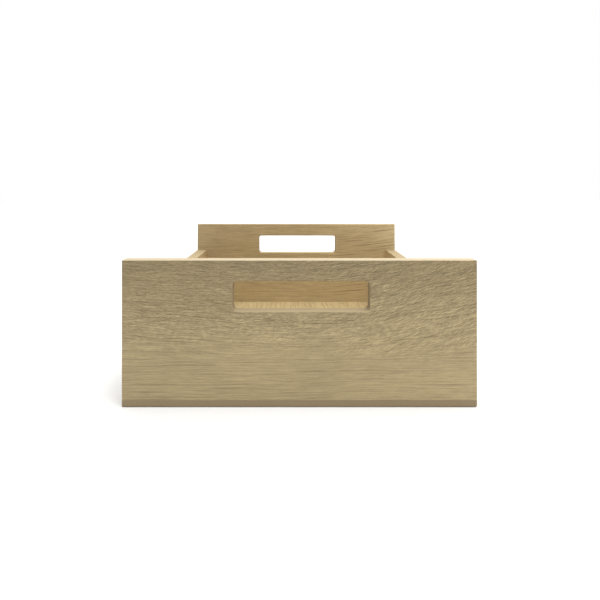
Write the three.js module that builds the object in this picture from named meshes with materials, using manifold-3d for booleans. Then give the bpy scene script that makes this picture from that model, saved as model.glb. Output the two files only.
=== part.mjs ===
// An open wooden case with a hand slot in each of its two tall end panels. Two lower side panels
// stand between the end panels, joined to them by hidden dowels, and a thin base board is screwed
// on from below, flush with the outside all round. Millimetres, +Z up. The origin is the centre of
// the underside, +X points right and the front panel faces -Y.
import * as THREE from "three";
import { mergeVertices } from "three/addons/utils/BufferGeometryUtils.js";
import Module from "manifold-3d";

const wasm = await Module();
wasm.setup();

// Driving dimensions.
const CASE_WIDTH = 300;
const CASE_DEPTH = 300;
const END_HEIGHT = 124; // top of the end panels above the table
const SIDE_HEIGHT = 85; // top of the side panels above the table
const END_THICKNESS = 11;
const SIDE_THICKNESS = 14;
const BASE_THICKNESS = 6;

const SLOT_WIDTH = 116;
const SLOT_HEIGHT = 26;
const SLOT_BELOW_TOP = 17.5; // wood left above the slot, for the fingers to lift
const SLOT_RIGHT_OF_CENTRE = 1.5; // both slots lie this far towards +X
const SLOT_CORNER_RADIUS = 4;

const DOWEL_DIAMETER = 6;
const DOWEL_LENGTH = 25;
const DOWEL_CHAMFER = 0.8;
const DOWEL_FLUTES = 12;
const DOWEL_FLUTE_DEPTH = 0.25;
const DOWEL_EDGE_DISTANCE = 20; // from a side panel's top or bottom edge to the dowel's axis
const DOWEL_HOLE_IN_END = 8; // depth of the blind hole in an end panel's inner face
const DOWEL_HOLE_IN_SIDE = 18; // depth of the hole in a side panel's end
const DOWEL_CLEARANCE = 0.15; // glue line round a dowel

const SCREW_DIAMETER = 3;
const SCREW_HEAD_DIAMETER = 6;
const SCREW_LENGTH = 20;
const SCREW_TIP_LENGTH = 3;
const SCREW_SUNK = 0.3; // how far a head lies inside the base's underside
const SCREW_CLEARANCE = 0.2;
const SCREW_RECESS_LENGTH = 3.2;
const SCREW_RECESS_WIDTH = 0.8;
const SCREW_RECESS_DEPTH = 1.2;
const END_SCREW_SPACING = 120; // between the three screws under each end panel
const SIDE_SCREW_SPACING = 140; // between the two screws under each side panel

const ROUND_SEGMENTS = 20;
const SLOT_CORNER_SEGMENTS = 8;
const POINTS_PER_FLUTE = 4;
const OVERSHOOT = 1; // how far a cutter reaches past the face that it opens
const WELD_DISTANCE = 1e-4;

// Places worked out from the dimensions above.
const END_PANEL_HEIGHT = END_HEIGHT - BASE_THICKNESS;
const SIDE_PANEL_HEIGHT = SIDE_HEIGHT - BASE_THICKNESS;
const SIDE_PANEL_LENGTH = CASE_DEPTH - 2 * END_THICKNESS;
const SIDE_PANEL_X = (CASE_WIDTH - SIDE_THICKNESS) / 2;
const END_PANEL_Y = (CASE_DEPTH - END_THICKNESS) / 2;
const DOWEL_HEIGHTS = [DOWEL_EDGE_DISTANCE, SIDE_PANEL_HEIGHT - DOWEL_EDGE_DISTANCE];
const END_SCREW_PLACES = [-END_SCREW_SPACING, 0, END_SCREW_SPACING];
const SIDE_SCREW_PLACES = [-SIDE_SCREW_SPACING / 2, SIDE_SCREW_SPACING / 2];
const SCREW_HOLE_RADIUS = SCREW_DIAMETER / 2 + SCREW_CLEARANCE;
const SCREW_HOLE_DEPTH = SCREW_SUNK + SCREW_LENGTH - BASE_THICKNESS + OVERSHOOT;

const oak = new THREE.MeshStandardMaterial({ color: 0x9d8b69, roughness: 0.65, metalness: 0 });
const paleOak = new THREE.MeshStandardMaterial({ color: 0xc0a578, roughness: 0.6, metalness: 0 });
const beech = new THREE.MeshStandardMaterial({ color: 0xd2a679, roughness: 0.7, metalness: 0 });
const zincSteel = new THREE.MeshStandardMaterial({ color: 0xb9bcc0, roughness: 0.35, metalness: 1 });

// A closed geometry as a solid that can be cut.
function solidFrom(geometry) {
  const bare = geometry.clone();
  bare.deleteAttribute("normal");
  bare.deleteAttribute("uv");
  const welded = mergeVertices(bare, WELD_DISTANCE);
  return new wasm.Manifold(
    new wasm.Mesh({
      numProp: 3,
      vertProperties: new Float32Array(welded.attributes.position.array),
      triVerts: new Uint32Array(welded.index.array),
    }),
  );
}

// A cut solid as a geometry that three.js can draw.
function geometryFrom(solid) {
  const mesh = solid.getMesh();
  const geometry = new THREE.BufferGeometry();
  geometry.setAttribute("position", new THREE.BufferAttribute(mesh.vertProperties, 3));
  geometry.setIndex(new THREE.BufferAttribute(mesh.triVerts, 1));
  geometry.computeVertexNormals();
  return geometry;
}

// The geometry with every cutter taken out of it.
function cut(geometry, cutters) {
  let solid = solidFrom(geometry);
  for (const cutter of cutters) solid = solid.subtract(solidFrom(cutter));
  return geometryFrom(solid);
}

function roundBar(radius, length) {
  return new THREE.CylinderGeometry(radius, radius, length, ROUND_SEGMENTS);
}

// A board lying along X and Y, with its lowest face at z = 0.
function board(width, depth, height) {
  return new THREE.BoxGeometry(width, depth, height).translate(0, 0, height / 2);
}

// The hand slot's outline, centred at the origin.
function slotOutline() {
  const x = SLOT_WIDTH / 2;
  const y = SLOT_HEIGHT / 2;
  const r = SLOT_CORNER_RADIUS;
  const outline = new THREE.Shape();
  outline.moveTo(-x + r, -y);
  outline.absarc(x - r, -y + r, r, -Math.PI / 2, 0);
  outline.absarc(x - r, y - r, r, 0, Math.PI / 2);
  outline.absarc(-x + r, y - r, r, Math.PI / 2, Math.PI);
  outline.absarc(-x + r, -y + r, r, Math.PI, 1.5 * Math.PI);
  return outline;
}

// Cuts the hand slot through an end panel's thickness, which runs along Y.
function slotCutter(x) {
  const depth = END_THICKNESS + 2 * OVERSHOOT;
  const z = END_PANEL_HEIGHT - SLOT_BELOW_TOP - SLOT_HEIGHT / 2;
  const shape = { depth, bevelEnabled: false, curveSegments: SLOT_CORNER_SEGMENTS };
  return new THREE.ExtrudeGeometry(slotOutline(), shape)
    .translate(0, 0, -depth / 2)
    .rotateX(Math.PI / 2)
    .translate(x, 0, z);
}

// A dowel hole along Y, from a face at y = face inwards, towards the side that inwards says.
function dowelHole(x, face, inwards, z, depth) {
  const length = depth + OVERSHOOT;
  const centre = face + inwards * (length / 2 - OVERSHOOT);
  return roundBar(DOWEL_DIAMETER / 2 + DOWEL_CLEARANCE, length).translate(x, centre, z);
}

// A screw hole going up from a panel's bottom edge.
function screwHole(x, y) {
  const length = SCREW_HOLE_DEPTH + OVERSHOOT;
  return roundBar(SCREW_HOLE_RADIUS, length)
    .rotateX(Math.PI / 2)
    .translate(x, y, length / 2 - OVERSHOOT);
}

// An end panel standing on z = 0, with its inner face towards +Y and its slot centred at slotX.
function endPanelGeometry(slotX) {
  const cutters = [slotCutter(slotX)];
  for (const x of [-SIDE_PANEL_X, SIDE_PANEL_X])
    for (const z of DOWEL_HEIGHTS)
      cutters.push(dowelHole(x, END_THICKNESS / 2, -1, z, DOWEL_HOLE_IN_END));
  for (const x of END_SCREW_PLACES) cutters.push(screwHole(x, 0));
  return cut(board(CASE_WIDTH, END_THICKNESS, END_PANEL_HEIGHT), cutters);
}

// A side panel standing on z = 0, running along Y between the end panels.
function sidePanelGeometry() {
  const cutters = [];
  for (const end of [-1, 1])
    for (const z of DOWEL_HEIGHTS)
      cutters.push(dowelHole(0, (end * SIDE_PANEL_LENGTH) / 2, -end, z, DOWEL_HOLE_IN_SIDE));
  for (const y of SIDE_SCREW_PLACES) cutters.push(screwHole(0, y));
  return cut(board(SIDE_THICKNESS, SIDE_PANEL_LENGTH, SIDE_PANEL_HEIGHT), cutters);
}

// A clearance hole through the base with a countersink that opens downwards.
function countersunkHole(x, y) {
  const headRadius = SCREW_HEAD_DIAMETER / 2 + SCREW_CLEARANCE;
  const coneTop = SCREW_SUNK + headRadius - SCREW_HOLE_RADIUS;
  const profile = [
    new THREE.Vector2(0, -OVERSHOOT),
    new THREE.Vector2(headRadius, -OVERSHOOT),
    new THREE.Vector2(headRadius, SCREW_SUNK),
    new THREE.Vector2(SCREW_HOLE_RADIUS, coneTop),
    new THREE.Vector2(SCREW_HOLE_RADIUS, BASE_THICKNESS + OVERSHOOT),
    new THREE.Vector2(0, BASE_THICKNESS + OVERSHOOT),
  ];
  return new THREE.LatheGeometry(profile, ROUND_SEGMENTS).rotateX(Math.PI / 2).translate(x, y, 0);
}

// Where the base screws go, each with the name of its place.
function screwPlaces() {
  const places = [];
  for (const [end, y] of [["front", -END_PANEL_Y], ["back", END_PANEL_Y]])
    ["left", "middle", "right"].forEach((name, i) =>
      places.push({ name: `base_screw_${end}_${name}`, x: END_SCREW_PLACES[i], y }),
    );
  for (const [side, x] of [["left", -SIDE_PANEL_X], ["right", SIDE_PANEL_X]])
    ["front", "back"].forEach((name, i) =>
      places.push({ name: `base_screw_${side}_side_${name}`, x, y: SIDE_SCREW_PLACES[i] }),
    );
  return places;
}

// The base board, with its underside on z = 0.
function baseBoardGeometry() {
  const cutters = screwPlaces().map(({ x, y }) => countersunkHole(x, y));
  return cut(board(CASE_WIDTH, CASE_DEPTH, BASE_THICKNESS), cutters);
}

// A fluted dowel with chamfered ends, along Y and centred at the origin.
function dowelGeometry() {
  const outline = new THREE.Shape();
  const points = DOWEL_FLUTES * POINTS_PER_FLUTE;
  for (let i = 0; i < points; i += 1) {
    const angle = (i / points) * 2 * Math.PI;
    const inFlute = i % POINTS_PER_FLUTE === 0;
    const radius = DOWEL_DIAMETER / 2 - (inFlute ? DOWEL_FLUTE_DEPTH : 0);
    const x = radius * Math.cos(angle);
    const y = radius * Math.sin(angle);
    if (i === 0) outline.moveTo(x, y);
    else outline.lineTo(x, y);
  }
  const depth = DOWEL_LENGTH - 2 * DOWEL_CHAMFER;
  return new THREE.ExtrudeGeometry(outline, {
    depth,
    bevelThickness: DOWEL_CHAMFER,
    bevelSize: DOWEL_CHAMFER,
    bevelOffset: -DOWEL_CHAMFER,
    bevelSegments: 1,
  })
    .translate(0, 0, -depth / 2)
    .rotateX(Math.PI / 2);
}

// A countersunk screw pointing up, with the flat of its head on z = 0 and a cross recess in it.
function screwGeometry() {
  const shank = SCREW_DIAMETER / 2;
  const head = SCREW_HEAD_DIAMETER / 2;
  const profile = [
    new THREE.Vector2(0, 0),
    new THREE.Vector2(head, 0),
    new THREE.Vector2(shank, head - shank),
    new THREE.Vector2(shank, SCREW_LENGTH - SCREW_TIP_LENGTH),
    new THREE.Vector2(0, SCREW_LENGTH),
  ];
  const body = new THREE.LatheGeometry(profile, ROUND_SEGMENTS).rotateX(Math.PI / 2);
  const slots = [0, Math.PI / 2].map((turn) =>
    new THREE.BoxGeometry(SCREW_RECESS_LENGTH, SCREW_RECESS_WIDTH, 2 * SCREW_RECESS_DEPTH).rotateZ(turn),
  );
  return cut(body, slots);
}

const typeCase = new THREE.Group();
const onBase = new THREE.Group();
onBase.position.z = BASE_THICKNESS;
typeCase.add(onBase);

function place(parent, name, geometry, material, x, y, z) {
  const mesh = new THREE.Mesh(geometry, material);
  mesh.name = name;
  mesh.position.set(x, y, z);
  parent.add(mesh);
}

function addPanels() {
  const frontPanel = endPanelGeometry(SLOT_RIGHT_OF_CENTRE);
  const backPanel = endPanelGeometry(-SLOT_RIGHT_OF_CENTRE).rotateZ(Math.PI);
  const sidePanel = sidePanelGeometry();
  place(onBase, "front_panel", frontPanel, oak, 0, -END_PANEL_Y, 0);
  place(onBase, "back_panel", backPanel, oak, 0, END_PANEL_Y, 0);
  place(onBase, "left_side_panel", sidePanel, oak, -SIDE_PANEL_X, 0, 0);
  place(onBase, "right_side_panel", sidePanel, oak, SIDE_PANEL_X, 0, 0);
  place(typeCase, "base_board", baseBoardGeometry(), paleOak, 0, 0, 0);
}

// Two dowels at each corner, with one end in the end panel and the rest in the side panel.
function addDowels() {
  const dowel = dowelGeometry();
  const fromCentre = SIDE_PANEL_LENGTH / 2 + (DOWEL_HOLE_IN_END - DOWEL_HOLE_IN_SIDE) / 2;
  for (const [end, y] of [["front", -fromCentre], ["back", fromCentre]])
    for (const [side, x] of [["left", -SIDE_PANEL_X], ["right", SIDE_PANEL_X]])
      ["lower", "upper"].forEach((level, i) =>
        place(onBase, `dowel_${end}_${side}_${level}`, dowel, beech, x, y, DOWEL_HEIGHTS[i]),
      );
}

function addScrews() {
  const screw = screwGeometry();
  for (const { name, x, y } of screwPlaces()) place(typeCase, name, screw, zincSteel, x, y, SCREW_SUNK);
}

addPanels();
addDowels();
addScrews();

export default typeCase;
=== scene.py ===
"""An open oak case with a hand slot in each of its two tall end panels, on a pale studio floor.

The CAD model is the frame: it gives the place and size of every board, dowel and screw. This
script makes them all again as finer meshes, the boards with softened edges, and gives every
piece a procedural material. Metres, +Z up, and the front panel faces -Y.
"""
from math import cos, pi, radians, sin

import bmesh
import bpy
from mathutils import Matrix, Vector


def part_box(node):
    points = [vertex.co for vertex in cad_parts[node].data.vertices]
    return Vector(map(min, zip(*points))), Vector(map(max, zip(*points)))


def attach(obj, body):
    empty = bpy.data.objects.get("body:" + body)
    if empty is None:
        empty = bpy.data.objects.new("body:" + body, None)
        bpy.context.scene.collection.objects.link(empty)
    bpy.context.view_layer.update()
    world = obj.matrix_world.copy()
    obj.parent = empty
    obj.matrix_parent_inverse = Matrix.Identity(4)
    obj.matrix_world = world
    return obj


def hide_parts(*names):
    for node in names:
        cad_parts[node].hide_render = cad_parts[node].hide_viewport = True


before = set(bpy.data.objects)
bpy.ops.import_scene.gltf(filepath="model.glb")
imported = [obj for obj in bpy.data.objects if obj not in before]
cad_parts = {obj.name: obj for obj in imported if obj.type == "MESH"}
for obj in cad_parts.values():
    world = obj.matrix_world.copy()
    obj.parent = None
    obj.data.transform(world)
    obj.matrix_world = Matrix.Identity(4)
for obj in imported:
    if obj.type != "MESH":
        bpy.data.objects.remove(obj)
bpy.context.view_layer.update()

BODY = "root"
DOWELS = [n for n in sorted(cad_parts) if n.startswith("dowel_")]
SCREWS = [n for n in sorted(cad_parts) if n.startswith("base_screw_")]

MM = 0.001
TOLERANCE = 0.01 * MM

# Softened edges, as radii.
SHOWN_EDGE = 0.35 * MM  # an edge that a hand meets
PANEL_CORNER = 1.25 * SHOWN_EDGE  # an end panel's outline, at its four corners
SLOT_EDGE = 0.6 * MM  # round the hand slots
GLUED_EDGE = 0.12 * MM  # an edge that meets another board
BASE_LOWER_EDGE = 1.2 * MM
EDGE_SEGMENTS = 5
SHARP_TURN = 40  # degrees; a sharper turn isn't shaded smooth

# Hand sanding: how much a softened edge varies, and its waves' lengths in metres and strengths.
SANDING = 0.15
SANDING_WAVES = ((0.047, 1.0), (0.019, 0.6))
UPRIGHT_STRETCH = 1.3  # how much closer the waves are on an end panel's upright edges

# Lines of an end panel's grid.
CORNER_STEPS = 8
OUTLINE_STEPS = (58, 13)  # along a long side, and along a short side
FACE_LINES = (0.12, 0.3, 0.5, 0.7, 0.88)  # from the slot to the outline, as shares
WALL_LINES = (0.3, 0.5, 0.7)  # through the thickness, as shares

# Dowels and their holes.
HOLE_CLEARANCE = 0.15 * MM
END_GAP = 0.5 * MM  # left at the end of a dowel or screw in its hole
DOWEL_FLUTES = 12
DOWEL_FLUTE_DEPTH = 0.25 * MM
DOWEL_CHAMFER = 0.8 * MM
DOWEL_POINTS = 96  # round one dowel
DOWEL_STEPS = 6  # along one dowel

# Screws and their holes.
SHANK_RADIUS = 1.5 * MM
SCREW_RIM = 0.12 * MM
SCREW_CORE_RADIUS = 1.05 * MM
SCREW_THREAD_PITCH = 1.35 * MM
SCREW_THREAD_STEPS = 8  # in one turn of the thread
SCREW_TIP_LENGTH = 3 * MM
SCREW_TIP_SHARE = 0.06  # the tip's radius, as a share of the thread's
SCREW_RECESS_REACH = 1.65 * MM
SCREW_RECESS_WIDTH = 0.42 * MM
SCREW_RECESS_DEPTH = 1.2 * MM
SCREW_RECESS_FLOOR = (0.45, 0.7)  # an arm's reach and width at the bottom, as shares
COUNTERSINK_RADIUS = 3.2 * MM
SCREW_HOLE_RADIUS = 1.7 * MM
SCREW_TURN = radians(37)  # from one screw's recess to the next one's

# The camera stands level, just left of the middle, and sees the case through a shifted lens.
CAMERA_PLACE = (-0.0061, -0.5107, 0.1928)
CAMERA_LENS = 25.64
CAMERA_SHIFT = (0.013, -0.2018)

# The studio. Every softbox faces straight down: its name, place, size and power.
SOFTBOXES = (
    ("softbox", (0.9, 0.9, 2.0), (4.5, 4.5), 140),
    ("front_softbox", (0.2, -0.75, 2.0), (1.6, 0.9), 28),
)
WHITE = (1, 1, 1, 1)
FILL_LIGHT = 0.22
FLOOR_TONE = (0.76, 0.76, 0.76, 1)
FLOOR_REACH = 3.0
FLOOR_DROP = 0.1 * MM  # below the case, so that the two don't share a plane
FLOOR_GLOW = 0.6
FLOOR_GLOW_RANGE = (0.6, 1.6)  # the distances over which the floor's glow comes up


# ---------------------------------------------------------------------------------------------
# Meshes
# ---------------------------------------------------------------------------------------------

def add_object(name, mesh, replaced):
    """Puts a finished mesh in the scene as a piece that stands for one CAD node."""
    piece = bpy.data.objects.new(name, mesh)
    bpy.context.scene.collection.objects.link(piece)
    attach(piece, BODY)
    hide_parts(replaced)
    return piece


def dress(mesh, material):
    """Gives a mesh its one material, and sharp shading only where it turns sharply."""
    mesh.materials.clear()
    mesh.materials.append(material)
    mesh.polygons.foreach_set("use_smooth", [True] * len(mesh.polygons))
    mesh.update()
    mesh.set_sharp_from_angle(angle=radians(SHARP_TURN))


def weight_normals(piece):
    """Keeps the flat faces flat and lets only the softened edges shade round."""
    modifier = piece.modifiers.new("flat_faces", "WEIGHTED_NORMAL")
    modifier.keep_sharp = True
    modifier.weight = 100


def closed_mesh(name, points, faces):
    """A mesh with all of its faces turned outwards."""
    mesh = bpy.data.meshes.new(name)
    mesh.from_pydata(points, [], faces)
    work = bmesh.new()
    work.from_mesh(mesh)
    bmesh.ops.recalc_face_normals(work, faces=work.faces)
    work.to_mesh(mesh)
    work.free()
    return mesh


def quad(row, following, place, across):
    """The corners of a quad between two rows of points, in a list of rows that close up."""
    beside = (place + 1) % across
    return (row * across + place, following * across + place,
            following * across + beside, row * across + beside)


def grid_mesh(name, rows):
    """A closed mesh of quads from rows of points, joined end to end both ways."""
    across = len(rows[0])
    faces = [
        quad(i, (i + 1) % len(rows), j, across)
        for i in range(len(rows))
        for j in range(across)
    ]
    return closed_mesh(name, [p for row in rows for p in row], faces)


def ring(radius, height, around=32):
    """Points round the Z axis. radius is a number, or gives one for each turn from 0 to 1."""
    points = []
    for i in range(around):
        reach = radius(i / around) if callable(radius) else radius
        points.append((reach * cos(2 * pi * i / around), reach * sin(2 * pi * i / around), height))
    return points


def turned_mesh(name, rings):
    """A closed mesh from rings of points stacked along Z, with a flat cap at each end."""
    around = len(rings[0])
    last = (len(rings) - 1) * around
    faces = [tuple(range(around)), tuple(range(last, last + around))]
    faces += [quad(i, i + 1, j, around) for i in range(len(rings) - 1) for j in range(around)]
    return closed_mesh(name, [p for row in rings for p in row], faces)


def settle(piece):
    """Turns a piece's modifiers into its mesh."""
    bpy.context.view_layer.update()
    evaluated = piece.evaluated_get(bpy.context.evaluated_depsgraph_get())
    mesh = bpy.data.meshes.new_from_object(evaluated)
    piece.modifiers.clear()
    old = piece.data
    piece.data = mesh
    mesh.name = piece.name
    bpy.data.meshes.remove(old)


def cutter(name, mesh):
    """A hidden object that is only there to be cut out of a piece."""
    shape = bpy.data.objects.new("cutter_" + name, mesh)
    bpy.context.scene.collection.objects.link(shape)
    shape.hide_render = True
    return shape


def cut_holes(piece, cutters):
    """Takes the cutter objects out of a piece for good."""
    for shape in cutters:
        modifier = piece.modifiers.new("hole", "BOOLEAN")
        modifier.operation = "DIFFERENCE"
        modifier.solver = "EXACT"
        modifier.object = shape
    settle(piece)
    for shape in cutters:
        mesh = shape.data
        bpy.data.objects.remove(shape)
        bpy.data.meshes.remove(mesh)


# ---------------------------------------------------------------------------------------------
# End panel meshes
# ---------------------------------------------------------------------------------------------

def rounded_outline(middle, half, radius):
    """A rounded rectangle in X and Z: a list of (point, outward direction), anticlockwise."""
    corners = ((1, 1), (-1, 1), (-1, -1), (1, -1))
    centres = [middle + Vector((x * (half.x - radius), z * (half.y - radius))) for x, z in corners]
    outline = []
    for turn, centre in enumerate(centres):
        for i in range(CORNER_STEPS + 1):
            angle = (turn + i / CORNER_STEPS) * pi / 2
            out = Vector((cos(angle), sin(angle)))
            outline.append((centre + radius * out, out))
        following = centres[(turn + 1) % 4]
        steps = OUTLINE_STEPS[turn % 2]
        for i in range(1, steps):
            outline.append((centre.lerp(following, i / steps) + radius * out, out))
    return outline


def slot_in(node, outer_face):
    """The middle, half size and corner radius of a CAD end panel's slot, as its outer face has it."""
    low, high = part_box(node)
    inside = 1 * MM  # in from the panel's own outline
    points = [
        v.co
        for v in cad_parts[node].data.vertices
        if abs(v.co.y - outer_face) < TOLERANCE and low.x + inside < v.co.x < high.x - inside
    ]
    left, right = min(p.x for p in points), max(p.x for p in points)
    bottom, top = min(p.z for p in points), max(p.z for p in points)
    flat_right = max(p.x for p in points if top - p.z < TOLERANCE)
    middle = Vector(((left + right) / 2, (bottom + top) / 2))
    return middle, Vector(((right - left) / 2, (top - bottom) / 2)), right - flat_right


def sanded(radius, place):
    """A softened edge's radius, a little uneven along its length."""
    wave = sum(
        strength * sin(2 * pi * place / length + i)
        for i, (length, strength) in enumerate(SANDING_WAVES)
    )
    return radius * (1 + SANDING * wave / sum(strength for _, strength in SANDING_WAVES))


def soft_edge(corner, out, radius, y, inwards):
    """Points round a softened edge, from the face at y to the wall that looks the way of out."""
    points = []
    for i in range(EDGE_SEGMENTS + 1):
        angle = i / EDGE_SEGMENTS * pi / 2
        flat = corner - out * radius * (1 - sin(angle))
        points.append(Vector((flat.x, y + inwards * radius * (1 - cos(angle)), flat.y)))
    return points


def between(start, end, shares):
    """Points on the line from start to end, at shares of the way."""
    return [start.lerp(end, share) for share in shares]


def end_panel_mesh(node, joined_side):
    """An end panel with its slot, as one closed grid of quads that goes round the slot.

    joined_side is +1 if the side panels meet the face at its highest y, and -1 at its lowest.
    Edges where another board is glued on stay almost sharp."""
    low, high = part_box(node)
    side_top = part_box("left_side_panel")[1].z
    middle = Vector(((low.x + high.x) / 2, (low.z + high.z) / 2))
    half = Vector(((high.x - low.x) / 2, (high.z - low.z) / 2))
    slot_middle, slot_half, slot_radius = slot_in(node, low.y if joined_side > 0 else high.y)

    def outer_edge(corner, out, face):
        """The softened outer edge of the face at the lowest y (-1) or at the highest (1)."""
        on_base = out.y < -0.5
        on_side = face == joined_side and abs(out.x) > 0.5 and corner.y < side_top
        worn = sanded(SHOWN_EDGE, corner.x + UPRIGHT_STRETCH * corner.y)
        radius = GLUED_EDGE if on_base or on_side else worn
        return soft_edge(corner, out, radius, low.y if face < 0 else high.y, -face)

    rows = []
    outline = rounded_outline(middle, half, PANEL_CORNER)
    slot_outline = rounded_outline(slot_middle, slot_half, slot_radius)
    for (corner, out), (rim, away) in zip(outline, slot_outline):
        front = outer_edge(corner, out, -1)
        back = outer_edge(corner, out, 1)
        rim_radius = sanded(SLOT_EDGE, rim.x - rim.y)
        slot_front = soft_edge(rim, -away, rim_radius, low.y, 1)
        slot_back = soft_edge(rim, -away, rim_radius, high.y, -1)
        rows.append(
            between(slot_front[0], front[0], FACE_LINES) + front
            + between(front[-1], back[-1], WALL_LINES) + back[::-1]
            + between(back[0], slot_back[0], FACE_LINES) + slot_back
            + between(slot_back[-1], slot_front[-1], WALL_LINES) + slot_front[::-1]
        )
    return grid_mesh(node, rows)


# ---------------------------------------------------------------------------------------------
# Plain board meshes
# ---------------------------------------------------------------------------------------------

def board_mesh(node, radius_of_edge):
    """A board the size of a CAD node, with its edges weighted for bevelling, and the widest bevel.

    radius_of_edge gives each of its 12 edges' softness, from the two sides that the edge is on."""
    low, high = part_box(node)
    size = high - low
    work = bmesh.new()
    bmesh.ops.create_cube(work, size=1)
    place = Matrix.Translation((low + high) / 2) @ Matrix.Diagonal((*size, 1))
    bmesh.ops.transform(work, matrix=place, verts=work.verts)
    layer = work.edges.layers.float.new("bevel_weight_edge")
    radii = {}
    for edge in work.edges:
        middle = (edge.verts[0].co + edge.verts[1].co - low - high) / 2
        radii[edge] = radius_of_edge(Vector(round(2 * middle[i] / size[i]) for i in range(3)))
    widest = max(radii.values())
    for edge, radius in radii.items():
        edge[layer] = radius / widest
    mesh = bpy.data.meshes.new(node)
    work.to_mesh(mesh)
    work.free()
    return mesh, widest


def side_panel_edge(side):
    """The long top edges are softened; every other edge meets a board."""
    return SHOWN_EDGE if side.z > 0 and side.x != 0 else GLUED_EDGE


def base_edge(side):
    """The lower edges are rounded most, the upper ones meet a board, and the corners are soft."""
    if side.z < 0:
        return BASE_LOWER_EDGE
    return GLUED_EDGE if side.z > 0 else SHOWN_EDGE


def soften(piece, widest):
    """Bevels a piece's edges by their weights, as shares of the widest bevel."""
    modifier = piece.modifiers.new("softened_edges", "BEVEL")
    modifier.limit_method = "WEIGHT"
    modifier.width = widest
    modifier.segments = EDGE_SEGMENTS
    modifier.use_clamp_overlap = True


# ---------------------------------------------------------------------------------------------
# Shader building
# ---------------------------------------------------------------------------------------------

class Shader:
    """A material whose nodes are added one call at a time. Inputs are sockets or numbers."""

    def __init__(self, name):
        self.material = bpy.data.materials.new(name)
        self.material.use_nodes = True
        self.tree = self.material.node_tree
        self.surface = self.tree.nodes["Principled BSDF"]

    def node(self, kind, **settings):
        node = self.tree.nodes.new("ShaderNode" + kind)
        for key, value in settings.items():
            setattr(node, key, value)
        return node

    def feed(self, socket, value):
        if isinstance(value, bpy.types.NodeSocket):
            self.tree.links.new(value, socket)
        else:
            socket.default_value = value

    def math(self, operation, *values):
        node = self.node("Math", operation=operation)
        for socket, value in zip(node.inputs, values):
            self.feed(socket, value)
        return node.outputs[0]

    def add(self, *values):
        total = values[0]
        for value in values[1:]:
            total = self.math("ADD", total, value)
        return total

    def times(self, *values):
        product = values[0]
        for value in values[1:]:
            product = self.math("MULTIPLY", product, value)
        return product

    def less(self, first, second):
        return self.math("SUBTRACT", first, second)

    def part_of(self, direction, axes="XYZ"):
        """The parts of the object's own coordinates or normal, in the order that axes names."""
        node = self.node("SeparateXYZ")
        self.feed(node.inputs[0], self.node("TexCoord").outputs[direction])
        return [node.outputs[axis] for axis in axes]

    def millimetres(self, axes="XYZ"):
        """The place on the object, in millimetres along each of its axes."""
        return [self.times(part, 1 / MM) for part in self.part_of("Object", axes)]

    def noise(self, place, scale, detail=2.0, roughness=0.5):
        """Noise from about 0 to 1, with scale bumps in a unit along each part of the place."""
        stretched = self.node("CombineXYZ")
        for socket, part, bumps in zip(stretched.inputs, place, scale):
            self.feed(socket, self.times(part, bumps))
        node = self.node("TexNoise")
        self.feed(node.inputs["Vector"], stretched.outputs[0])
        node.inputs["Scale"].default_value = 1.0
        node.inputs["Detail"].default_value = detail
        node.inputs["Roughness"].default_value = roughness
        return node.outputs["Fac"]

    def spread(self, value, low, high, to_low=0.0, to_high=1.0, smooth=True):
        """The value moved from one range to another, and kept inside it."""
        node = self.node("MapRange", interpolation_type="SMOOTHSTEP" if smooth else "LINEAR")
        self.feed(node.inputs["Value"], value)
        ends = {"From Min": low, "From Max": high, "To Min": to_low, "To Max": to_high}
        for name, end in ends.items():
            self.feed(node.inputs[name], end)
        return node.outputs["Result"]

    def blend(self, amount, first, second):
        """A colour from the first to the second, as the amount goes from 0 to 1."""
        node = self.node("Mix", data_type="RGBA")
        self.feed(node.inputs["Factor"], amount)
        self.feed(node.inputs[6], first)
        self.feed(node.inputs[7], second)
        return node.outputs[2]

    def times_colour(self, colour, amount):
        node = self.node("VectorMath", operation="SCALE")
        self.feed(node.inputs[0], colour)
        self.feed(node.inputs["Scale"], amount)
        return node.outputs[0]

    def bump(self, height, distance, strength=1.0):
        node = self.node("Bump")
        self.feed(node.inputs["Height"], height)
        node.inputs["Distance"].default_value = distance
        node.inputs["Strength"].default_value = strength
        return node.outputs["Normal"]

    def finished(self, colour, roughness, normal):
        """The material, once its colour, roughness and bumps are joined to its surface."""
        self.feed(self.surface.inputs["Base Color"], colour)
        self.feed(self.surface.inputs["Roughness"], roughness)
        self.feed(self.surface.inputs["Normal"], normal)
        return self.material


# ---------------------------------------------------------------------------------------------
# Oak
#
# u runs along the grain, v across a board's width and w through its thickness, in millimetres.
# ring and ray are v with the growth rings' or the medullary rays' bends added, so that a noise
# over them follows the wood. deep is w slowed down, so that figure changes little in a board.
# ---------------------------------------------------------------------------------------------

RING_TILT = 0.8  # how far the rings shift across the width in one millimetre of thickness
WANDER = 7.0  # how far rings and rays wander on their way along a board
RING_RIPPLE = (0.8, 2.2)  # how far the rings ripple in plain wood, and how much more in flecked
RAY_RIPPLE = 3.0

# Pale, brown and end-grain colours of each board, and the colours of their top edges. The end panels'
# top edge is paler: partly the edge's own tone, partly a painted highlight where the softbox falls on
# it.
END_GRAIN = (0.36, 0.275, 0.155, 1)
GOLDEN = ((0.55, 0.425, 0.235, 1), (0.46, 0.345, 0.185, 1))
FRONT_TONES = ((0.45, 0.356, 0.192, 1), (0.384, 0.298, 0.160, 1), END_GRAIN)
BACK_TONES = (*GOLDEN, END_GRAIN)
SIDE_TONES = (*GOLDEN, (0.38, 0.29, 0.18, 1))
BASE_TONES = ((0.458, 0.355, 0.181, 1), (0.386, 0.288, 0.145, 1), (0.325, 0.25, 0.147, 1))
END_TOP_TONE_AND_HIGHLIGHT = (0.65, 0.53, 0.345, 1)
SIDE_TOP_EDGE = (0.38, 0.293, 0.162, 1)

END_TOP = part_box("front_panel")[1].z / MM
SIDE_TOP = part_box("left_side_panel")[1].z / MM


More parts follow.
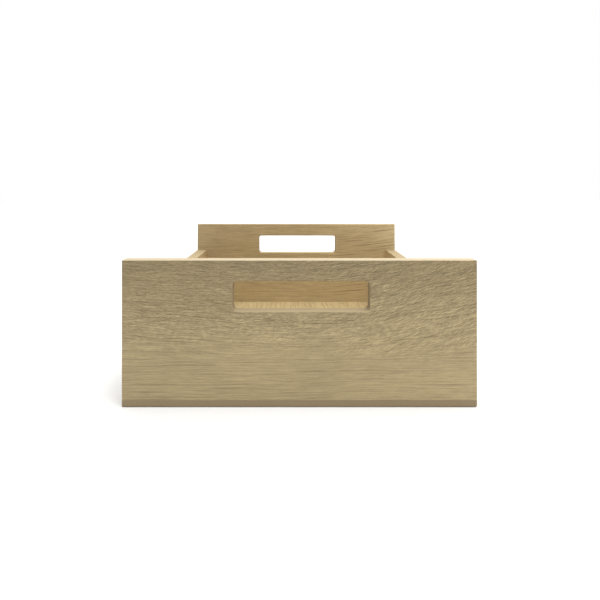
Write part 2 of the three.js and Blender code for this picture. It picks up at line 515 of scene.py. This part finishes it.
def at_top(s, v, top, below=0.0):
    """1 at a board's top edge, and another value from a millimetre below it."""
    return s.spread(v, top - 1.0, top - 0.2, below, 1.0)


def growth_rings(s, u, ring, deep, gap, seed):
    """Each ring's band of open pores: whole, and broken into dashes along the grain."""
    pace = s.noise((seed, ring, 0.0), (1, 0.13, 1))
    turn = s.math("FRACT", s.add(s.times(ring, 1 / gap), s.times(pace, 2.0)))
    band = s.times(s.spread(turn, 0.0, 0.12), s.spread(turn, 0.42, 0.16))
    dash = s.noise((u, ring, deep), (0.018, 0.6, 1), 3.0, 0.65)
    return band, s.times(band, s.spread(dash, 0.44, 0.62))


def fibres_and_pores(s, u, ring, w, coarseness):
    """Fibres, and single pores that are shorter and finer."""
    fibre = s.noise((u, ring, w), (0.028, 1.5 / coarseness, 1.2), 4.0, 0.8)
    pore = s.noise((u, ring, w), (0.08, 2.2 / coarseness, 2.0), 2.0, 0.5)
    return fibre, s.spread(pore, 0.56, 0.70)


def medullary_flecks(s, u, ring, ray, deep):
    """Long shallow ripples with short flecks that slant more, dark below 0 and pale above."""
    long_ray = s.noise((u, s.add(ring, ray), deep), (0.09, 1.3, 1), 2.0, 0.6)
    short_ray = s.noise((u, ray, deep), (0.36, 2.2, 1), 2.0, 0.6)
    return s.add(long_ray, short_ray, -1.0)


def oak(name, axes, tones, figure, ring_gap=2.4, coarseness=1.0, seed=0.0, top_edge=None):
    """Quarter to rift-sawn oak whose figure runs through the whole board.

    axes names the object axes of u, v and w. tones are the pale, brown and end-grain colours.
    figure(shader, u, v) gives the rings' bend and depth, the strength and slant of the
    medullary flecks, and how light the board is, which on the front and side panels is partly
    painted shade and painted light. top_edge is the top edge's height and colour; on the end
    panels that colour is partly a painted highlight."""
    s = Shader(name)
    u, v, w = s.millimetres(axes)
    facing_u, facing_v, _ = (s.math("ABSOLUTE", part) for part in s.part_of("Normal", axes))
    end = s.spread(facing_u, 0.35, 0.8)
    edgewise = s.spread(facing_v, 0.5, 0.9)
    deep = s.add(s.times(w, 0.15), seed)
    bend, ring_depth, flecked, slant, level = figure(s, u, v)

    wander = s.noise((u, v, s.add(s.times(w, 0.02), seed)), (0.007, 0.02, 1))
    wander = s.times(wander, WANDER)
    ripple = s.noise((u, v, deep), (0.05, 0.14, 1))
    tilted = s.add(v, s.times(w, RING_TILT))
    plain_ripple, more_ripple = RING_RIPPLE
    ring_ripple = s.times(ripple, s.add(plain_ripple, s.times(flecked, more_ripple)))
    ring = s.add(tilted, bend, wander, ring_ripple)
    ray = s.add(tilted, slant, wander, s.times(ripple, RAY_RIPPLE))

    band, rings = growth_rings(s, u, ring, deep, ring_gap, seed)
    fibre, pore = fibres_and_pores(s, u, ring, w, coarseness)
    flecks = medullary_flecks(s, u, ring, ray, deep)
    flecks = s.times(flecks, flecked, s.less(1.0, edgewise))
    cloud = s.noise((u, ring, seed + 4.0), (0.012, 0.045, 1))
    figured = s.add(
        s.times(s.less(cloud, 0.5), 0.16),
        s.less(fibre, 0.5),
        s.times(rings, ring_depth, -1.0),
        s.times(pore, -0.08),
        s.times(flecks, 1.4),
    )
    light = s.add(0.96, s.times(figured, s.spread(edgewise, 0.0, 1.0, 1.0, 0.55)))
    light = s.times(light, level)

    # End grain shows the rings' ends and the pores cut across.
    dots = s.noise((u, v, w), (0.1, 1.6, 1.6), 3.0, 0.6)
    end_light = s.add(0.92, s.times(band, ring_depth, -0.35), s.times(s.less(dots, 0.5), 0.8))
    shade = s.add(s.times(light, s.less(1.0, end)), s.times(end_light, end))

    pale, brown, cut = tones
    colour = s.blend(s.spread(light, 0.75, 1.1), brown, pale)
    # The top edge gets a colour of its own. On the end panels it is paler: partly the edge's own
    # tone, partly a painted highlight where the softbox falls on it.
    if top_edge:
        top, top_tone = top_edge
        colour = s.blend(s.times(at_top(s, v, top), edgewise), colour, top_tone)
    colour = s.times_colour(s.blend(end, colour, cut), shade)
    rough = s.add(0.60, s.times(rings, 0.12), s.times(flecks, -0.15), s.times(end, 0.12))
    height = s.add(s.times(rings, -0.6), s.times(pore, -0.7), s.times(fibre, 0.6), flecks)
    s.surface.inputs["Specular IOR Level"].default_value = 0.3
    return s.finished(colour, rough, s.bump(height, 0.05 * MM, 0.6))


def dip(s, u, middle, steepness):
    """A bend of lines that are lowest in the middle, and rise more and more to both sides."""
    return s.times(s.math("POWER", s.less(u, middle), 2.0), s.times(steepness, -1.0))


def lift(s, u, start, steepness):
    """A bend of lines that are level up to a place, and rise more and more from there."""
    return dip(s, s.math("MAXIMUM", s.less(u, start), 0.0), 0.0, steepness)


def climb(s, u, start, softness, slope):
    """A bend of lines that are level up to a place, and rise steadily from there."""
    past = s.less(u, start)
    corner = s.math("SQRT", s.add(s.times(past, past), softness ** 2))
    return s.times(s.add(past, corner), -slope / 2)


def front_figure(s, u, v):
    """Straight rings below, and ripples and flecks above that rise to both ends, most at right."""
    above = s.times(s.spread(v, 30.0, 65.0), 0.0003)
    bend = s.add(dip(s, u, 10.0, above), lift(s, u, 10.0, above))
    slant = s.add(dip(s, u, -20.0, above), climb(s, u, 30.0, 40.0, 0.5))
    border = s.noise((u, v, 3.0), (0.02, 0.05, 1))
    upper = s.spread(s.add(v, s.times(border, 30.0)), 50.0, 88.0, 0.12, 1.0)
    flecked = s.times(upper, s.spread(u, -80.0, 80.0, 0.8, 1.0))
    # level: darker towards the top, partly the board's own tone and partly painted shade where the
    # upper face catches less light bounced from the floor; and a little lighter to the right.
    level = s.add(
        s.spread(v, 45.0, 118.0, 1.0, 0.745, smooth=False),
        s.spread(u, -150.0, 150.0, -0.02, 0.03, smooth=False),
    )
    return bend, 0.2, flecked, slant, level


def back_figure(s, u, v):
    """Straight faint rings that lift and deepen towards the right-hand end, with hardly a fleck."""
    ring_depth = s.spread(u, 10.0, 70.0, 0.12, 0.36)
    level = s.spread(u, -150.0, 150.0, 0.90, 1.07, smooth=False)
    return lift(s, u, 20.0, 0.0005), ring_depth, 0.12, s.times(u, 0.05), level


def side_figure(level):
    """Straight rings, in a side panel that is as light as level says up to its top edge. Below the
    top edge, level is painted light that lifts faces lying in shade inside the case.
    """

    def figure(s, u, v):
        return s.times(u, 0.01), 0.2, 0.12, s.times(u, 0.05), at_top(s, v, SIDE_TOP, level)

    return figure


def base_figure(s, u, v):
    """Broad faint figure all over."""
    return s.times(u, 0.01), 0.08, 0.12, s.times(u, 0.05), 1.0


# ---------------------------------------------------------------------------------------------
# Beech and zinc
# ---------------------------------------------------------------------------------------------

def beech():
    """Beech with its grain along Z, and short dark flakes."""
    s = Shader("beech")
    place = s.millimetres()
    fibre = s.noise(place, (2.0, 2.0, 0.12), 3.0, 0.6)
    flake = s.noise(place, (1.1, 1.1, 0.5), 1.0)
    colour = s.blend(fibre, (0.50, 0.30, 0.17, 1), (0.70, 0.47, 0.29, 1))
    colour = s.blend(s.spread(flake, 0.55, 0.7, 0.0, 0.6), colour, (0.42, 0.24, 0.13, 1))
    return s.finished(colour, s.spread(fibre, 0.3, 0.7, 0.55, 0.75), s.bump(fibre, 0.05 * MM))


def zinc():
    """Zinc-plated steel, patchy and finely scratched."""
    s = Shader("zinc_steel")
    place = s.millimetres()
    patch = s.noise(place, (0.9, 0.9, 0.9), 4.0, 0.6)
    scratch = s.noise(place, (6.0, 0.8, 6.0))
    colour = s.blend(patch, (0.50, 0.51, 0.50, 1), (0.74, 0.75, 0.77, 1))
    s.surface.inputs["Metallic"].default_value = 1.0
    rough = s.spread(s.add(patch, scratch), 0.7, 1.3, 0.24, 0.46)
    return s.finished(colour, rough, s.bump(scratch, 0.01 * MM))


# ---------------------------------------------------------------------------------------------
# Boards
# ---------------------------------------------------------------------------------------------

def dowel_cutters(word):
    """Cutters along Y for the dowels whose names hold a word."""
    cutters = []
    for node in DOWELS:
        if word in node:
            low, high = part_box(node)
            radius = (high.x - low.x) / 2 + HOLE_CLEARANCE
            reach = (high.y - low.y) / 2 + END_GAP
            shape = cutter(node, turned_mesh(node, [ring(radius, -reach), ring(radius, reach)]))
            shape.location = (low + high) / 2
            shape.rotation_euler.x = pi / 2
            cutters.append(shape)
    return cutters


def screw_cutters(word, countersunk=False):
    """Cutters along Z for the screws whose names start with a word, from below the table up."""
    cutters = []
    for node in SCREWS:
        if node.startswith(word):
            low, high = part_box(node)
            below_table = -low.z - MM
            rings = [ring(SCREW_HOLE_RADIUS, below_table)]
            if countersunk:
                rings = [
                    ring(COUNTERSINK_RADIUS, below_table),
                    ring(COUNTERSINK_RADIUS, 0.0),
                    ring(SCREW_HOLE_RADIUS, COUNTERSINK_RADIUS - SCREW_HOLE_RADIUS),
                ]
            rings.append(ring(SCREW_HOLE_RADIUS, high.z - low.z + END_GAP))
            shape = cutter(node, turned_mesh(node, rings))
            shape.location = ((low.x + high.x) / 2, (low.y + high.y) / 2, low.z)
            cutters.append(shape)
    return cutters


def finish_board(piece, material, holes):
    """Cuts the holes, and gives the board its material and shading."""
    cut_holes(piece, holes)
    dress(piece.data, material)
    weight_normals(piece)


def make_end_panel(end, joined_side, material):
    """The front or back panel, with blind holes for its dowels and screws."""
    node = end + "_panel"
    piece = add_object("oak_" + node, end_panel_mesh(node, joined_side), node)
    holes = dowel_cutters(f"_{end}_") + screw_cutters(f"base_screw_{end}_")
    finish_board(piece, material, holes)


def make_plain_board(node, radius_of_edge, material, holes):
    """A side panel or the base board, with its edges softened and its holes cut."""
    mesh, widest = board_mesh(node, radius_of_edge)
    piece = add_object("oak_" + node, mesh, node)
    soften(piece, widest)
    finish_board(piece, material, holes)


def make_boards():
    # The end panels' top edge colour is partly a painted highlight.
    ends = (END_TOP, END_TOP_TONE_AND_HIGHLIGHT)
    sides = (SIDE_TOP, SIDE_TOP_EDGE)
    front = oak("front_panel_oak", "XZY", FRONT_TONES, front_figure, top_edge=ends)
    back = oak("back_panel_oak", "XZY", BACK_TONES, back_figure, 3.9, seed=11.0, top_edge=ends)
    # The side panels' levels are painted light. The right panel gets more, because the softbox leaves
    # its inner face in shade.
    left = oak("left_side_panel_oak", "YZX", SIDE_TONES, side_figure(1.02), 2.8, seed=23.0,
               top_edge=sides)
    right = oak("right_side_panel_oak", "YZX", SIDE_TONES, side_figure(1.12), 2.7, seed=31.0,
                top_edge=sides)
    base = oak("base_board_oak", "YXZ", BASE_TONES, base_figure, 6.0, 2.2, seed=47.0)
    make_end_panel("front", 1, front)
    make_end_panel("back", -1, back)
    for side, material in (("left", left), ("right", right)):
        holes = dowel_cutters(f"_{side}_") + screw_cutters(f"base_screw_{side}_side_")
        make_plain_board(side + "_side_panel", side_panel_edge, material, holes)
    holes = screw_cutters("base_screw_", countersunk=True)
    make_plain_board("base_board", base_edge, base, holes)


# ---------------------------------------------------------------------------------------------
# Dowels
# ---------------------------------------------------------------------------------------------

def fluted(reach):
    """A dowel's radius for each turn from 0 to 1 round it."""

    def radius(turn):
        return reach - DOWEL_FLUTE_DEPTH * max(0, cos(2 * pi * DOWEL_FLUTES * turn)) ** 3

    return radius


def dowel_rings(length, radius):
    """A fluted dowel round Z and centred on the origin, with chamfered ends."""
    straight = length - 2 * DOWEL_CHAMFER
    places = [(radius - DOWEL_CHAMFER, -length / 2)]
    places += [(radius, straight * (i / DOWEL_STEPS - 0.5)) for i in range(DOWEL_STEPS + 1)]
    places += [(radius - DOWEL_CHAMFER, length / 2)]
    return [ring(fluted(reach), height, DOWEL_POINTS) for reach, height in places]


def make_dowels():
    """One dowel's mesh, at every CAD dowel's place."""
    low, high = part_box(DOWELS[0])
    mesh = turned_mesh("dowel", dowel_rings(high.y - low.y, (high.x - low.x) / 2))
    dress(mesh, beech())
    for node in DOWELS:
        low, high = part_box(node)
        piece = add_object("beech_" + node, mesh, node)
        piece.location = (low + high) / 2
        piece.rotation_euler.x = pi / 2


# ---------------------------------------------------------------------------------------------
# Screws
# ---------------------------------------------------------------------------------------------

def thread_radius(height, length):
    """The screw's radius at a height, for each turn from 0 to 1 round it."""
    taper = max(SCREW_TIP_SHARE, min(1.0, (length - height) / SCREW_TIP_LENGTH))

    def radius(turn):
        crest = abs(2 * ((height / SCREW_THREAD_PITCH - turn) % 1) - 1) ** 3
        return taper * (SCREW_CORE_RADIUS + (SHANK_RADIUS - SCREW_CORE_RADIUS) * crest)

    return radius


def screw_rings(length, head_radius):
    """A countersunk wood screw pointing up, from the flat of its head to its tip."""
    rim = SCREW_RIM
    cone_top = head_radius - SHANK_RADIUS + 2 * rim
    height = cone_top + SCREW_THREAD_PITCH
    rings = [
        ring(0.5 * head_radius, 0.0),
        ring(head_radius - rim, 0.0),
        ring(head_radius - 0.3 * rim, 0.3 * rim),
        ring(head_radius, rim),
        ring(head_radius, 2 * rim),
        ring(SHANK_RADIUS, cone_top),
        ring(SHANK_RADIUS, height),
    ]
    shortest_step = 0.1 * MM
    while height < length - shortest_step:
        height = min(height + SCREW_THREAD_PITCH / SCREW_THREAD_STEPS, length)
        rings.append(ring(thread_radius(height, length), height))
    return rings


def recess_cutter(turn):
    """One bar of the cross recess: it runs through the head's middle and narrows inwards."""
    above_head = -0.05 * MM
    floor_reach, floor_width = SCREW_RECESS_FLOOR
    work = bmesh.new()
    bmesh.ops.create_cube(work, size=2)
    for vert in work.verts:
        deep = vert.co.z > 0
        vert.co.x *= SCREW_RECESS_REACH * (floor_reach if deep else 1.0)
        vert.co.y *= SCREW_RECESS_WIDTH * (floor_width if deep else 1.0)
        vert.co.z = SCREW_RECESS_DEPTH if deep else above_head
    mesh = bpy.data.meshes.new("recess")
    work.to_mesh(mesh)
    work.free()
    shape = cutter("recess", mesh)
    shape.rotation_euler.z = turn
    return shape


def make_screws():
    """One screw's mesh, at every CAD screw's place and turned differently at each."""
    low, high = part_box(SCREWS[0])
    rings = screw_rings(high.z - low.z, (high.x - low.x) / 2)
    pattern = cutter("screw", turned_mesh("screw", rings))
    cut_holes(pattern, [recess_cutter(0.0), recess_cutter(pi / 2)])
    mesh = pattern.data
    mesh.name = "screw"
    bpy.data.objects.remove(pattern)
    dress(mesh, zinc())
    for i, node in enumerate(SCREWS):
        low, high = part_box(node)
        piece = add_object("zinc_" + node, mesh, node)
        piece.location = ((low.x + high.x) / 2, (low.y + high.y) / 2, low.z)
        piece.rotation_euler.z = i * SCREW_TURN


# ---------------------------------------------------------------------------------------------
# Studio
# ---------------------------------------------------------------------------------------------

def make_floor():
    """A pale floor that turns to plain white away from the case, like the world behind it."""
    s = Shader("studio_floor")
    x, y = s.part_of("Object", "XY")
    distance = s.math("SQRT", s.add(s.times(x, x), s.times(y, y)))
    glow = s.spread(distance, *FLOOR_GLOW_RANGE, 0.0, FLOOR_GLOW)
    s.feed(s.surface.inputs["Emission Strength"], glow)
    s.surface.inputs["Emission Color"].default_value = WHITE
    s.surface.inputs["Base Color"].default_value = FLOOR_TONE
    s.surface.inputs["Roughness"].default_value = 0.9
    s.surface.inputs["Specular IOR Level"].default_value = 0.0
    corners = ((-1, -1), (1, -1), (1, 1), (-1, 1))
    mesh = bpy.data.meshes.new("studio_floor")
    mesh.from_pydata(
        [(FLOOR_REACH * x, FLOOR_REACH * y, -FLOOR_DROP) for x, y in corners], [], [(0, 1, 2, 3)]
    )
    mesh.materials.append(s.material)
    floor = bpy.data.objects.new("studio_floor", mesh)
    bpy.context.scene.collection.objects.link(floor)


def make_world():
    """White where the camera sees it, and a weaker fill light."""
    world = bpy.data.worlds.new("studio")
    world.use_nodes = True
    tree = world.node_tree
    seen = tree.nodes["Background"]
    seen.inputs["Color"].default_value = WHITE
    seen.inputs["Strength"].default_value = 1.0
    fill = tree.nodes.new("ShaderNodeBackground")
    fill.inputs["Color"].default_value = WHITE
    fill.inputs["Strength"].default_value = FILL_LIGHT
    path = tree.nodes.new("ShaderNodeLightPath")
    mix = tree.nodes.new("ShaderNodeMixShader")
    tree.links.new(path.outputs["Is Camera Ray"], mix.inputs[0])
    tree.links.new(fill.outputs[0], mix.inputs[1])
    tree.links.new(seen.outputs[0], mix.inputs[2])
    tree.links.new(mix.outputs[0], tree.nodes["World Output"].inputs["Surface"])
    bpy.context.scene.world = world


def add_softbox(name, place, size, power):
    data = bpy.data.lights.new(name, "AREA")
    data.shape = "RECTANGLE"
    data.size, data.size_y = size
    data.energy = power
    light = bpy.data.objects.new(name, data)
    light.location = place
    bpy.context.scene.collection.objects.link(light)


def make_camera():
    data = bpy.data.cameras.new("camera")
    data.lens = CAMERA_LENS
    data.shift_x, data.shift_y = CAMERA_SHIFT
    camera = bpy.data.objects.new("camera", data)
    camera.location = CAMERA_PLACE
    camera.rotation_euler = (radians(90), 0, 0)
    bpy.context.scene.collection.objects.link(camera)
    bpy.context.scene.camera = camera


make_boards()
make_dowels()
make_screws()
make_floor()
make_world()
for softbox in SOFTBOXES:
    add_softbox(*softbox)
make_camera()
bpy.context.scene.view_settings.view_transform = "Standard"
